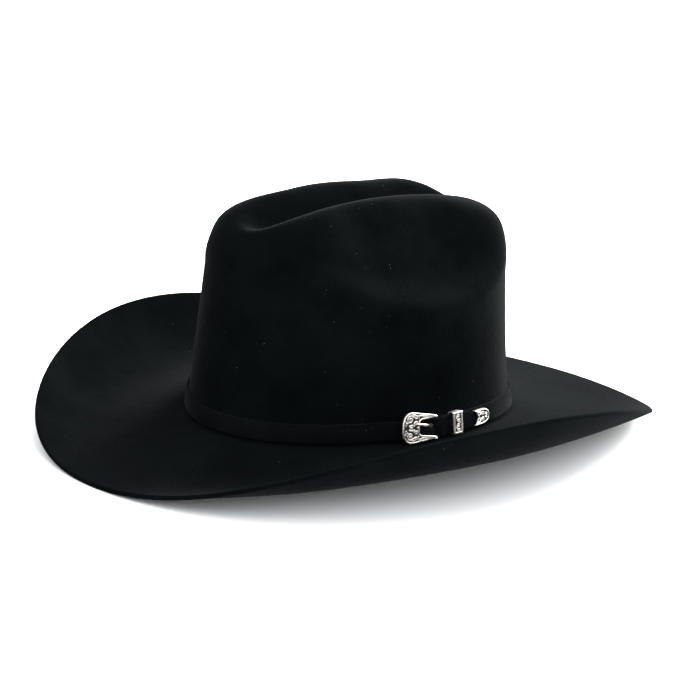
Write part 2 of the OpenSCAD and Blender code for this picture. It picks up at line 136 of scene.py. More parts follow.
def brim_pt(t, s):
    b, e = break_pt(t), edge_pt(t)
    way = e - b
    level = way * [1, 1, 0]
    level = unit(level)
    span = np.linalg.norm(way, axis=-1)
    a0 = np.radians(-LEAVE_ANGLE + 2 * np.cos(2 * t))
    a1 = np.radians(EDGE_ANGLE + ROLL_ANGLE * np.cos(2 * t) - ROLL_ANGLE_FORWARD * np.sin(t) * np.cos(t) ** 2)
    up = np.array([0, 0, 1.0])
    c0 = b + col(0.52 * span) * (col(np.cos(a0)) * level + col(np.sin(a0)) * up)
    c1 = e - col(0.4 * span) * (col(np.cos(a1)) * level + col(np.sin(a1)) * up)
    s = col(s)
    return (1 - s) ** 3 * b + 3 * s * (1 - s) ** 2 * c0 + 3 * s * s * (1 - s) * c1 + s**3 * e


# ---- Mesh helpers ----
def outward(points, faces):
    """The faces of one closed shell, turned to look out of it."""
    p = np.asarray(points) - np.mean(points, axis=0)
    volume = 0.0
    for size in {len(f) for f in faces}:
        f = np.array([f for f in faces if len(f) == size])
        for i in range(1, size - 1):
            volume += np.einsum("ij,ij->", p[f[:, 0]], np.cross(p[f[:, i]], p[f[:, i + 1]]))
    return faces if volume > 0 else [list(f)[::-1] for f in faces]


def make(name, points, faces, body, material, replaces=()):
    mesh = bpy.data.meshes.new(name)
    mesh.from_pydata((np.asarray(points, float) * MM).tolist(), [], [list(map(int, f)) for f in faces])
    mesh.validate()
    mesh.update()
    mesh.polygons.foreach_set("use_smooth", [True] * len(mesh.polygons))
    mesh.materials.append(material)
    piece = bpy.data.objects.new(name, mesh)
    bpy.context.scene.collection.objects.link(piece)
    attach(piece, body)
    if replaces:
        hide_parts(*replaces)
    return piece


def weave_coords(piece, coords):
    """Where each point lies on its cloth, in metres along and across the weave."""
    flat = np.zeros((len(coords), 3), np.float32)
    flat[:, 0], flat[:, 2] = coords[:, 0] * MM, coords[:, 1] * MM
    piece.data.attributes.new("weave", "FLOAT_VECTOR", "POINT").data.foreach_set("vector", flat.ravel())


def ring_quads(rows, around):
    """Quads between rows of points, each row a ring round the hat."""
    j, i = np.meshgrid(np.arange(rows - 1), np.arange(around), indexing="ij")
    a = j * around + i
    b = j * around + (i + 1) % around
    return np.stack([a, a + around, b + around, b], -1).reshape(-1, 4)


def lathe_loop(rings, closed=True):
    """A closed tube: rings is (stations, corners, 3)."""
    n, m = rings.shape[:2]
    i, j = np.meshgrid(np.arange(n if closed else n - 1), np.arange(m), indexing="ij")
    a = i * m + j
    b = i * m + (j + 1) % m
    c = (i + 1) % n * m + j
    d = (i + 1) % n * m + (j + 1) % m
    faces = np.stack([a, b, d, c], -1).reshape(-1, 4).tolist()
    if not closed:
        faces.append(list(range(m))[::-1])
        faces.append(list(range((n - 1) * m, n * m)))
    return rings.reshape(-1, 3), faces


# ---- Materials ----
def material(name, colour=(0.5, 0.5, 0.5), rough=0.5, metal=0.0, **sockets):
    m = bpy.data.materials.new(name)
    m.use_nodes = True
    shader = m.node_tree.nodes["Principled BSDF"]
    shader.inputs["Base Color"].default_value = (*colour, 1)
    shader.inputs["Roughness"].default_value = rough
    shader.inputs["Metallic"].default_value = metal
    for key, value in sockets.items():
        socket = shader.inputs[key.replace("_", " ")]
        socket.default_value = (*value, 1) if isinstance(value, tuple) else value
    return m


def node(m, kind, **values):
    n = m.node_tree.nodes.new(kind)
    for key, value in values.items():
        if key in n.inputs:
            n.inputs[key].default_value = value
        else:
            setattr(n, key, value)
    return n


def link(m, a, out, b, into):
    m.node_tree.links.new(a.outputs[out], b.inputs[into])


def object_coords(m):
    where = node(m, "ShaderNodeTexCoord")
    place = node(m, "ShaderNodeMapping")
    link(m, where, "Object", place, "Vector")
    return place


def noise(m, place, scale, detail=3.0):
    n = node(m, "ShaderNodeTexNoise", Scale=scale, Detail=detail, Roughness=0.6)
    link(m, place, "Vector", n, "Vector")
    return n


def ramp(m, source, out, stops):
    r = node(m, "ShaderNodeValToRGB")
    line = r.color_ramp
    while len(line.elements) < len(stops):
        line.elements.new(0.5)
    for e, (at, c) in zip(line.elements, stops):
        e.position = at
        e.color = (*c, 1) if isinstance(c, tuple) else (c, c, c, 1)
    link(m, source, out, r, "Fac")
    return r


def bump(m, source, out, strength, distance, under=None):
    b = node(m, "ShaderNodeBump", Strength=strength, Distance=distance)
    link(m, source, out, b, "Height")
    if under is not None:
        link(m, under, "Normal", b, "Normal")
    return b


LINT = (0.09, 0.075, 0.06, 1)


def felt_material(name, base):
    """Fur felt: nearly black, a little uneven, with a few specks of lint."""
    m = material(
        name, base, 0.8, Specular_IOR_Level=0.0, Sheen_Weight=0.03, Sheen_Roughness=0.3, Sheen_Tint=(0.95, 0.97, 1.0)
    )
    shader = m.node_tree.nodes["Principled BSDF"]
    place = object_coords(m)
    broad = noise(m, place, 28, 3.0)
    fine = noise(m, place, 1400, 2.0)
    darker, lighter = (tuple(k * c for c in base) for k in (0.75, 1.35))
    tone = ramp(m, broad, "Fac", [(0.3, darker), (0.7, lighter)])
    dots = node(m, "ShaderNodeTexVoronoi", Scale=420.0, Randomness=1.0)
    link(m, place, "Vector", dots, "Vector")
    rare = noise(m, place, 130, 1.0)
    near = ramp(m, dots, "Distance", [(0.0, 1.0), (0.16, 0.0)])
    some = ramp(m, rare, "Fac", [(0.66, 0.0), (0.74, 1.0)])
    both = node(m, "ShaderNodeMath", operation="MULTIPLY")
    link(m, near, "Color", both, 0)
    link(m, some, "Color", both, 1)
    mix = node(m, "ShaderNodeMix", data_type="RGBA")
    link(m, both, "Value", mix, 0)
    link(m, tone, "Color", mix, 6)
    mix.inputs[7].default_value = LINT
    m.node_tree.links.new(mix.outputs[2], shader.inputs["Base Color"])
    coarse = noise(m, place, 420, 2.0)
    b1 = bump(m, coarse, "Fac", 0.6, 0.0004)
    b2 = bump(m, fine, "Fac", 0.8, 0.0002, b1)
    link(m, b2, "Normal", shader, "Normal")
    return m


black_felt = felt_material("black_felt", (0.0018, 0.0024, 0.0025))

# ---- The felt body ----
STATIONS = 320
AROUND = np.arange(STATIONS) * 2 * np.pi / STATIONS


def even(make_row, low, high, spacing):
    """Values from low to high at which make_row's points lie about evenly apart."""
    v = np.linspace(low, high, 400)
    p = np.array([make_row(x) for x in v])
    run = np.concatenate([[0], np.cumsum(np.linalg.norm(np.diff(p, axis=0), axis=1))])
    count = max(2, int(round(run[-1] / spacing)))
    return np.interp(np.linspace(0, run[-1], count + 1), run, v)


def felt_rows():
    one = np.array(0.9)
    dome = even(lambda a: open_crown(one, 1.0, a), np.pi / 2 - 1e-6, 0, 2.0)[1:]
    rows = [creased(open_crown(AROUND, 1.0, a)) for a in dome]
    rows += [creased(open_crown(AROUND, w, 0.0)) for w in np.linspace(1, 0.06, 36)[1:]]
    rows += [open_crown(AROUND, w, 0.0) for w in (0.035, 0.014, 0)]
    rows += [brim_pt(AROUND, s) for s in np.linspace(0, 1, 42)[1:]]
    return np.array(rows)


def felt_body():
    rows = felt_rows()
    ahead = np.empty_like(rows)
    ahead[1:-1] = rows[2:] - rows[:-2]
    ahead[0] = rows[1] - rows[0]
    ahead[-1] = rows[-1] - rows[-2]
    side = np.roll(rows, -1, 1) - np.roll(rows, 1, 1)
    out = unit(np.cross(ahead, side))
    # The last rows draw in so that the raw edge is rounded over the felt's thickness.
    half = FELT / 2
    way = unit(ahead[-1])
    centre = rows[-1] - way * half - out[-1] * half
    rim = []
    for a in np.linspace(0, np.pi, 9):
        c, s = np.cos(a), np.sin(a)
        rim.append(centre + half * (np.abs(s) ** 0.6 * way + np.sign(c) * np.abs(c) ** 0.6 * out[-1]))
    top = rows.copy()
    top[-1] = rim[0]
    under = rows - FELT * out
    under[-1] = rim[-1]
    under = under[::-1]
    grid = np.concatenate([top, rim[1:-1], under])
    mid = creased(vec(0, 0, ridge_z(0.0)))
    n = len(grid) * STATIONS
    points = np.concatenate([grid.reshape(-1, 3), [mid, mid - [0, 0, FELT]]])
    faces = ring_quads(len(grid), STATIONS).tolist()
    faces += [[n, i, (i + 1) % STATIONS] for i in range(STATIONS)]
    last = n - STATIONS
    faces += [[n + 1, last + (i + 1) % STATIONS, last + i] for i in range(STATIONS)]
    return make("felt", points, faces, "root", black_felt, ["felt_body"])


felt_body()

# ---- Hat band ----
STRAP_LOW = GAP + STRAP_T / 2
FOLD_R = BAR_R + 0.1 + STRAP_T / 2
BAR_OFF = STRAP_LOW + FOLD_R
BILLET_HIGH = BAR_OFF + FOLD_R + STRAP_T + 0.15
MAIN_HIGH = STRAP_LOW + 1.1
BILLET_LOW = MAIN_HIGH + STRAP_T + 0.2
BAR_AT, BUCKLE_AT, KEEPER_AT, TIP_AT, FOLD_END_AT = -10.4, -15.2, -0.8, 11, -7.4
TIP_L, TIP_W, KEEPER_L, KEEPER_FOOT, KEEPER_HEAD = 14.2, 8.8, 7.4, 1.15, 1


SEWN_GAP = 0.35


def main_off(t):
    return STRAP_LOW + (MAIN_HIGH - STRAP_LOW) * smooth((t - BAR_AT - 1) / 4) * (1 - smooth((t - 16) / 14))


def fold_off(t):
    v = smooth((t - BAR_AT) / 4.5)
    return (BAR_OFF + FOLD_R) * (1 - v) + (MAIN_HIGH + STRAP_T + 0.05) * v


def billet_off(t):
    before = STRAP_LOW + (BILLET_HIGH - STRAP_LOW) * smooth((t + 31) / 19)
    over = fold_off(t) + STRAP_T + 0.15 + SEWN_GAP * smooth((t - BAR_AT) / 1.8)
    after = over - (STRAP_T + SEWN_GAP) * smooth((t - FOLD_END_AT) / 3.4)
    return np.where(t < BAR_AT, before, after)


def strap_line(t, off):
    """Centre of the strap at t degrees, and the direction up its face."""
    r = np.radians(np.asarray(t, float))
    foot, head = wall_pt(r, STRAP_LIFT, off), wall_pt(r, STRAP_LIFT + STRAP_W, off)
    return (foot + head) / 2, unit(head - foot)


def band_frame(t, off, face_t):
    """Matrix of the local frame on the band: x outwards, y towards the back, z up the wall."""
    r = np.radians(face_t)
    n = out_dir(np.array(r))
    d = wall_pt(np.array(r), STRAP_LIFT + STRAP_W, 0) - wall_pt(np.array(r), STRAP_LIFT, 0)
    lean = np.arctan2(-d @ n, d[2])
    m = Matrix.Rotation(float(np.arctan2(n[1], n[0])), 4, "Z") @ Matrix.Rotation(float(-lean), 4, "Y")
    m.translation = Vector(strap_line(t, off)[0])
    return m


def placed(points, m):
    p = np.asarray(points, float)
    return p @ np.array(m.to_3x3()).T + np.array(m.translation)


def strap_stations():
    """Centres, up directions, outward directions of the face and half widths along the whole strap."""
    parts = []

    def run(t, off, side, half=STRAP_W / 2):
        c, u = strap_line(t, off)
        parts.append((c, u, side * out_dir(np.radians(t)), np.full(len(t), half) if np.isscalar(half) else half))

    t = np.arange(FOLD_END_AT, BAR_AT + 0.5, -0.5)
    run(t, fold_off(t), 1)
    r = np.radians(BUCKLE_AT)
    n0 = out_dir(np.array(r))
    face = np.arctan2(n0[1], n0[0])
    centre, u = strap_line(BAR_AT, BAR_OFF)
    turn = face + np.radians(np.arange(0, -181, -12))
    n = vec(np.cos(turn), np.sin(turn), 0)
    upward = np.tile(strap_line(BUCKLE_AT, 0.0)[1], (len(turn), 1))
    parts.append((centre + FOLD_R * n, upward, n, np.full(len(turn), STRAP_W / 2)))
    t = np.concatenate([np.arange(-9.6, 3, 0.8), np.arange(4.5, 330, 1.5), np.arange(330, 344, 1.0)])
    wrap = t > 180
    off = main_off(t)
    off[wrap] = np.maximum(off[wrap], billet_off(t[wrap] - 360))
    run(t, off, -1)
    # The end tapers to the tip, and goes on inside it.
    t = np.concatenate([np.arange(-15.6, 2.1, 0.6), [2.8, 3.4, 4, 4.9, 5.9, 6.2, 8, 10, 11.6, 12.7, 13.2]])
    half = np.interp(t, [2, 4, 5.9, 6.2, 10, 11.6, 12.7, 13.2], [STRAP_W / 2, 4.9, 4.3, 3.6, 3.5, 3, 1.8, 1.1])
    run(t, billet_off(t), -1, half)
    return [np.concatenate(k) for k in zip(*parts)]


def band_strap():
    c, u, n, half = strap_stations()
    corner, t = 0.34, STRAP_T / 2
    section = []
    for su, sn, start in ((1, 1, 0), (-1, 1, 90), (-1, -1, 180), (1, -1, 270)):
        for a in np.radians([start, start + 45, start + 90]):
            # Angle 0 points up the strap, and 90 out of its face.
            section.append((su, corner * (np.cos(a) - su), sn * (t - corner) + corner * np.sin(a)))
    rings = np.stack([c + u * (half[:, None] * su + du) + n * dn for su, du, dn in section], 1)
    points, faces = lathe_loop(rings, closed=False)
    piece = make("hat_band", points, faces, "root", band_felt, ["band_strap"])
    bend = Matrix.Identity(4)
    bend[2][1] = -PRONG_BEND
    m = band_frame(BAR_AT, BAR_OFF, BUCKLE_AT) @ Matrix.Translation((0, 0, PRONG_Z)) @ bend
    eye_room = ((0, 0, 0), (4.9, 4.6, 3.1))
    shank_slot = ((3, -4.8, 0), (4, 5.2, 2.2))
    face_slot = ((FOLD_R + 2.13, -1.2, 0), (3, 2.4, 2.2))
    cut(piece, m, [eye_room, shank_slot, face_slot])
    return piece


def cut(piece, m, boxes):
    """Takes boxes, each (centre, size) in the local frame m, out of the piece."""
    for centre, size in boxes:
        bpy.ops.mesh.primitive_cube_add(size=1)
        tool = bpy.context.object
        scale = Matrix.Diagonal((*size, 1))
        tool.data.transform(Matrix.Scale(MM, 4) @ m @ Matrix.Translation(centre) @ scale)
        change = piece.modifiers.new("cut", "BOOLEAN")
        change.object, change.operation, change.solver = tool, "DIFFERENCE", "EXACT"
        graph = bpy.context.evaluated_depsgraph_get()
        new = bpy.data.meshes.new_from_object(piece.evaluated_get(graph))
        piece.modifiers.clear()
        piece.data = new
        bpy.data.objects.remove(tool)
    # The cuts leave slivers with no area where their walls meet
    clean, tiny = bmesh.new(), 4e-6
    clean.from_mesh(piece.data)
    bmesh.ops.triangulate(clean, faces=clean.faces)
    bmesh.ops.remove_doubles(clean, verts=clean.verts, dist=tiny)
    bmesh.ops.dissolve_degenerate(clean, edges=clean.edges, dist=tiny)
    clean.to_mesh(piece.data)
    clean.free()


# ---- Engraved metal ----
def signed(points, outline):
    """Distance inside a closed outline, negative outside, and the nearest point on it."""
    a, b = outline, np.roll(outline, -1, 0)
    d = b - a
    best = np.full(len(points), 1e9)
    near = np.zeros_like(points)
    inside = np.zeros(len(points), bool)
    for p0, p1, e in zip(a, b, d):
        w = np.clip(((points - p0) @ e) / (e @ e), 0, 1)
        q = p0 + w[:, None] * e
        r = np.linalg.norm(points - q, axis=1)
        k = r < best
        best[k], near[k] = r[k], q[k]
        if p0[1] != p1[1]:
            spans = (p0[1] > points[:, 1]) != (p1[1] > points[:, 1])
            inside ^= spans & (points[:, 0] < (p1[0] - p0[0]) * (points[:, 1] - p0[1]) / (p1[1] - p0[1]) + p0[0])
    return np.where(inside, best, -best), near


def line_distance(points, lines):
    """Distance to the nearest of several open lines of points, each with its own width."""
    best = np.full(len(points), 9.0)
    for line, width in lines:
        for p0, p1 in zip(line[:-1], line[1:]):
            e = p1 - p0
            w = np.clip(((points - p0) @ e) / (e @ e + 1e-12), 0, 1)
            best = np.minimum(best, np.linalg.norm(points - p0 - w[:, None] * e, axis=1) - width)
    return best


def spiral(centre, start, turns, radius, hand, width):
    a = np.linspace(0, turns * 2 * np.pi, int(14 * turns) + 2)
    r = radius * (1 - 0.82 * a / a[-1])
    return np.asarray(centre) + np.stack([r * np.cos(start + hand * a), r * np.sin(start + hand * a)], 1), width


def leaf(base, heading, length, bend, width):
    v = np.linspace(0, 1, 7)
    a = heading + bend * v
    steps = np.stack([np.cos(a), np.sin(a)], 1) * length / 6
    return np.asarray(base) + np.cumsum(steps, 0), width


def relief(outline, spacing, height):
    """Face of an engraved plate: a fine grid drawn in to the outline.

    height(points, inside_by) gives height and fill.
    """
    low, high = outline.min(0) - spacing, outline.max(0) + spacing
    nu, nv = (np.ceil((high - low) / spacing)).astype(int) + 1
    gu, gv = np.meshgrid(low[0] + spacing * np.arange(nu), low[1] + spacing * np.arange(nv), indexing="ij")
    p = np.stack([gu.ravel(), gv.ravel()], 1)
    d, near = signed(p, outline)
    keep = d > -0.55 * spacing
    pull = keep & (d < 0.45 * spacing)
    p[pull] = near[pull]
    d[pull] = 0
    i, j = np.meshgrid(np.arange(nu - 1), np.arange(nv - 1), indexing="ij")
    a = (i * nv + j).ravel()
    quads = np.stack([a, a + nv, a + nv + 1, a + 1], 1)
    quads = quads[keep[quads].all(1)]
    used, flat_index = np.unique(quads, return_inverse=True)
    quads = flat_index.reshape(-1, 4)
    p, d = p[used], np.maximum(d[used], 0)
    h, fill = height(p, d)
    return p, quads, h, fill


def boundary(quads):
    """Directed edges that only one quad has."""
    edges = np.concatenate([quads[:, [k, (k + 1) % 4]] for k in range(4)])
    have = set(map(tuple, edges.tolist()))
    return [(a, b) for a, b in have if (b, a) not in have]


def plate(outline, spacing, height, front, backs, m):
    """Points, faces and fill of a plate: its engraved face at front + height, and its back at backs(points)."""
    p, quads, h, fill = relief(outline, spacing, height)
    n = len(p)
    face = np.column_stack([front + h, p])
    rear = np.column_stack([backs(p), p])
    faces = quads.tolist() + (quads[:, ::-1] + n).tolist()
    faces += [[b, a, a + n, b + n] for a, b in boundary(quads)]
    return [(placed(np.concatenate([face, rear]), m), faces, np.concatenate([fill, np.zeros(n)]))]


def solid(points, faces, m):
    return placed(points, m), faces, np.zeros(len(points))


def rod(path, radii, m=None, sides=16, squash=1.0):
    """A round bar along a path of points, closed at both ends, in the local frame m."""
    path = np.asarray(path, float)
    ahead = unit(np.gradient(path, axis=0))
    side = np.array([0, 0, 1.0]) if abs(ahead[0][2]) < 0.8 else np.array([1.0, 0, 0])
    rings = []
    for p, a, r in zip(path, ahead, np.broadcast_to(radii, len(path))):
        u = unit(side - (side @ a) * a)
        v = np.cross(a, u)
        w = np.arange(sides) * 2 * np.pi / sides
        rings.append(p + r * (np.cos(w)[:, None] * u * squash + np.sin(w)[:, None] * v))
    points, faces = lathe_loop(np.array(rings), closed=False)
    return (points if m is None else placed(points, m)), faces, np.zeros(len(points))


def box_loop(inner, outer, length, m):
    """A rectangular loop round the strap: inner and outer are (x0, x1, z0, z1), length is along y."""
    outer_round, inner_round, soft, steps = 0.5, 0.12, 0.18, 4

    def corners(b, r):
        ring = []
        for cx, cz, start in ((b[1], b[3], 0), (b[0], b[3], 90), (b[0], b[2], 180), (b[1], b[2], 270)):
            x = cx - np.sign(cx - (b[0] + b[1]) / 2) * r
            z = cz - np.sign(cz - (b[2] + b[3]) / 2) * r
            for a in np.radians(np.linspace(start, start + 90, steps)):
                ring.append((x + r * np.cos(a), z + r * np.sin(a)))
        return np.array(ring)

    o, i = corners(outer, outer_round), corners(inner, inner_round)
    half = length / 2
    from_outer, from_inner = o + (i - o) * 0.25, i + (o - i) * 0.2
    stations = [
        (o, -half + soft), (o, half - soft), (from_outer, half), (from_inner, half),
        (i, half - soft), (i, -half + soft), (from_inner, -half), (from_outer, -half),
    ]
    rings = np.array([np.column_stack([ring[:, 0], np.full(len(ring), y), ring[:, 1]]) for ring, y in stations])
    points, faces = lathe_loop(rings)
    return placed(points, m), [f[::-1] for f in faces], np.zeros(len(points))


def joined(name, parts, body, mat, replaces):
    points, faces, fill, first = [], [], [], 0
    for p, f, c in parts:
        points.append(p)
        faces += [[i + first for i in face] for face in outward(p, f)]
        fill.append(c)
        first += len(p)
    piece = make(name, np.concatenate(points), faces, body, mat, replaces)
    layer = piece.data.attributes.new("fill", "FLOAT", "POINT")
    layer.data.foreach_set("value", np.concatenate(fill).astype(np.float32))
    return piece


def engraved(lines, rim, low=0.26, pearls=()):
    """Height of a face with a polished rim and raised scrolls over a dark ground."""
    def height(p, d):
        ground = smooth((d - rim) / 0.22)
        away = line_distance(p, lines)
        for centre, r in pearls:
            away = np.minimum(away, np.linalg.norm(p - centre, axis=1) - r)
        raised = 1 - smooth((away - 0.1) / 0.26)
        dip = ground * (1 - raised)
        edge = -0.32 * (1 - np.sqrt(np.clip(1 - (1 - np.minimum(d / 0.4, 1)) ** 2, 0, 1)))
        crown = 0.05 * ground * raised * np.cos(np.clip(away, -0.4, 0) * 3)
        return edge - low * dip + crown - 0.06 * ground, np.clip(dip * 1.25, 0, 1)
    return height


PRONG_Z, PRONG_BEND = 0.9, 0.21
PLATE_IN = FOLD_R + STRAP_T / 2 + 0.15 + STRAP_T + 0.5
PLATE_T = 1.2
BUCKLE_L, BUCKLE_W, ARM_BACK, HEEL_L = 23, 18.2, 0.8, 11.4
PLATE_TILT = np.radians(-2.5)
BUCKLE_RISE = 0.8
FRONT = ARM_BACK - BUCKLE_L


def buckle_outline():
    half, r = BUCKLE_W / 2, 7
    a = np.radians(np.linspace(180, 90, 17))
    square = 0.78
    along = np.sign(np.cos(a)) * np.abs(np.cos(a)) ** square
    nose = np.stack([FRONT + r + r * along, half * np.abs(np.sin(a)) ** square], 1)
    taper = [(-13, 8.85), (-10.4, 8.35), (-7, 7.9), (-4, 7.5), (-2, 7.15), (-0.6, 6.85)]
    end = np.array([*taper, (0.2, 6.6), (0.65, 6.25), (ARM_BACK, 5.9), (0.6, 5.6), (0.1, 5.4)])
    inner = np.array([(-2, 5.2), (-5.5, 4.85), (-9, 4.5), (-10, 4.2), (-10.6, 3.6), (FRONT + HEEL_L, 2.8)])
    top = np.concatenate([nose, end, inner])
    return np.concatenate([top, top[:0:-1] * [1, -1]])[::-1]


def buckle_lines():
    lines, pearls = [], [(np.array([FRONT + 5.8, 0.0]), 0.7), (np.array([FRONT + 10.1, 0.0]), 0.3)]
    for s in (1, -1):
        flip = np.array([1, s])
        for line, width in (
            spiral((FRONT + 5.0, 4.8), 0.6, 1.45, 2.4, 1, 0.17),
            spiral((FRONT + 8.9, 2.5), 3.6, 1.2, 1.4, -1, 0.15),
            spiral((FRONT + 8.8, 6.4), 2.2, 1.15, 1.35, 1, 0.15),
            leaf((FRONT + 2.0, 1.2), 1.2, 2.4, 0.9, 0.2),
            leaf((FRONT + 4.2, 0.9), 0.7, 2.1, -0.9, 0.18),
            leaf((FRONT + 7.1, 0.8), 0.6, 2.3, 0.8, 0.16),
            leaf((FRONT + 6.1, 7.5), 0.1, 2.1, -0.5, 0.16),
            leaf((FRONT + 10.6, 4.9), 1.4, 1.6, 0.5, 0.2),
            leaf((FRONT + 11.2, 7.0), -0.4, 1.5, 0.6, 0.2),
            leaf((FRONT + 3.0, 2.6), 0.9, 1.4, 0.6, 0.2),
            leaf((FRONT + 3.4, 6.4), 0.5, 1.5, -0.5, 0.2),
        ):
            lines.append((line * flip, width))
        for y in np.arange(-9.2, -0.4, 1.1):
            mid = 0.5 * (8.35 - 0.14 * (y + 10.4) + 4.5 + 0.09 * (y + 9))
            lines.append((leaf((y, s * (mid - 0.35)), s * 1.0, 0.85, -s * 0.7, 0.14)[0], 0.14))
        pearls.append((np.array([FRONT + 5.0, s * 4.8]), 0.35))
    return lines, pearls


def lug(low, high):
    """A post down to the bar, from z low to z high, rounded at its foot."""
    r, x1 = BAR_R + 0.75, PLATE_IN + 0.15
    ring = [(r * np.cos(a), r * np.sin(a)) for a in np.radians(np.arange(270, 89, -15))]
    ring = np.array(ring + [(x1, r - 0.1), (x1, -r + 0.1)])
    soft, drawn_in = 0.15, 0.92
    ends = ((drawn_in, low), (1, low + soft), (1, high - soft), (drawn_in, high))
    rings = np.array([np.column_stack([ring * k, np.full(len(ring), z)]) for k, z in ends])
    return lathe_loop(rings, closed=False)


def buckle():
    m = band_frame(BAR_AT, BAR_OFF, BUCKLE_AT) @ Matrix.Translation((0, 0, BUCKLE_RISE))
    lines, pearls = buckle_lines()
    thin = lambda p: PLATE_IN + 0.3 * smooth((p[:, 0] + 3) / 4)
    askew = m @ Matrix.Rotation(PLATE_TILT, 4, "X")
    parts = plate(buckle_outline(), 0.16, engraved(lines, 0.75, pearls=pearls), PLATE_IN + PLATE_T, thin, askew)
    top, foot = STRAP_W / 2 + 0.5 - BUCKLE_RISE, STRAP_W / 2 + 0.55 + BUCKLE_RISE
    for low, high in ((top, top + 1.1), (-foot - 0.7, -foot)):
        points, faces = lug(low, high)
        parts.append(solid(points, faces, m))
    joined("buckle", parts, "buckle", antique_silver, ["buckle_frame"])


def prong():
    m = band_frame(BAR_AT, BAR_OFF, BUCKLE_AT) @ Matrix.Translation((0, 0, PRONG_Z))
    top = PLATE_IN + PLATE_T
    shank = [(1.15, -0.5), (1.7, -1.8), (2.7, -3.6), (3.9, -5.6), (4.95, -7.4)]
    point = [(0.4, -8.7), (0.48, -10), (0.45, -11.3), (0.3, -12.0), (0.16, -12.4)]
    path = shank + [(top + x, y) for x, y in point]
    path = np.array([(x, y, -PRONG_BEND * y) for x, y in path])
    fine = np.linspace(0, len(path) - 1, 34)
    path = np.stack([np.interp(fine, range(len(path)), k) for k in path.T], 1)
    path[1:-1] = (path[:-2] + 2 * path[1:-1] + path[2:]) / 4
    radii = np.interp(fine, [0, 3, 5, 7, 8.2, 9], [0.44, 0.44, 0.5, 0.46, 0.36, 0.12])
    parts = [rod(path, radii, m, 16, 1.65)]
    a = np.radians(np.arange(0, 360, 12))
    upper = [(1.5, 0.66), (1.4, 0.78), (0.95, 0.78), (0.87, 0.62)]
    section = [(r, -z) for r, z in upper[::-1]] + upper
    rings = np.array([[(r * np.cos(k), r * np.sin(k), z) for r, z in section] for k in a])
    points, faces = lathe_loop(rings)
    parts.append(solid(points, faces, m))
    joined("prong", parts, "prong", plain_silver, ["buckle_prong"])


def rounded(y0, y1, z0, z1, r):
    ring, steps = [], 6
    for cy, cz, start in ((y1 - r, z1 - r, 0), (y0 + r, z1 - r, 90), (y0 + r, z0 + r, 180), (y1 - r, z0 + r, 270)):
        for a in np.radians(np.linspace(start, start + 90, steps)):
            ring.append((cy + r * np.cos(a), cz + r * np.sin(a)))
    return np.array(ring)


def keeper():
    m = band_frame(KEEPER_AT, (MAIN_HIGH + BILLET_LOW) / 2, KEEPER_AT)
    x = (BILLET_LOW - MAIN_HIGH + STRAP_T) / 2
    half = STRAP_W / 2
    low, high = -half - KEEPER_FOOT, half + KEEPER_HEAD
    parts = [box_loop((-x - 0.4, x + 0.35, -half - 0.4, half + 0.4), (-x - 0.95, x + 0.85, low, high), KEEPER_L, m)]
    lines, pearls = [], []
    for k, z in enumerate(np.linspace(-4.2, 4.2, 4)):
        lines.append(spiral((0, z), 0.4 + np.pi * (k % 2), 1.1, 1.12, 1 if k % 2 else -1, 0.13))
        pearls.append((np.array([1.35 if k % 2 else -1.35, z + 1.35]), 0.2))
    face = rounded(-KEEPER_L / 2, KEEPER_L / 2, low, high, 0.5)
    parts += plate(face, 0.16, engraved(lines, 1.05, 0.3, pearls), x + 1.5, lambda p: np.full(len(p), x + 0.8), m)
    joined("keeper", parts, "keeper", antique_silver, ["keeper_loop"])


def strap_tip():
    m = band_frame(TIP_AT, BILLET_LOW, TIP_AT)
    half, long = TIP_W / 2, TIP_L / 2
    a = np.radians(np.linspace(90, 0, 18))
    bow = np.stack([-1 + (long + 1) * np.cos(a) ** 0.85, half * np.sin(a) ** 0.85], 1)
    z = np.linspace(half - 0.35, 0, 14)
    notch = np.stack([-long + 3.2 * (1 - z / half) ** 0.8 + 0.5 * np.exp(-((z / 0.6) ** 2)), z], 1)
    top = np.concatenate([notch[::-1], [(-long + 0.12, half - 0.05), (-4, half)], bow])
    outline = np.concatenate([top, top[-2:0:-1] * [1, -1]])[::-1]
    lines, pearls = [], [(np.array([4.6, 0.0]), 0.4)]
    for s in (1, -1):
        flip = np.array([1, s])
        lines.append((spiral((0.8, 1.8), 2.4, 1.3, 1.25, 1, 0.14)[0] * flip, 0.14))
        lines.append((leaf((-4.8, 3.0), 0.0, 3.2, -0.45, 0.17)[0] * flip, 0.17))
        lines.append((leaf((-2.6, 1.3), 0.4, 1.7, -0.8, 0.14)[0] * flip, 0.14))
        lines.append((leaf((2.8, 0.5), 0.9, 1.6, -0.8, 0.15)[0] * flip, 0.15))
    face = STRAP_T / 2 + 1.0

    def rear(p):
        d, _ = signed(p, outline)
        skirt = (d < 0.4) & ((np.abs(p[:, 1]) > half - 0.5) | (p[:, 0] > 0))
        return np.where(skirt, -STRAP_T / 2, STRAP_T / 2 + 0.12)

    parts = plate(outline, 0.14, engraved(lines, 0.5, 0.3, pearls), face, rear, m)
    joined("strap_tip_cap", parts, "root", tip_silver_shaded, ["strap_tip"])


def stitches(name, ends, radius, mat, replaces, arch):
    """Short arched threads between pairs of points; the arch stands out along the third value."""
    parts = []
    for a, b, out in ends:
        v = np.linspace(0, 1, 7)[:, None]
        path = a + (b - a) * v + out * arch * np.sin(np.pi * v)
        parts.append(rod(path, radius * np.array([0.7, 0.95, 1, 1, 1, 0.95, 0.7]), None, 7))
    return joined(name, parts, "root", mat, replaces)


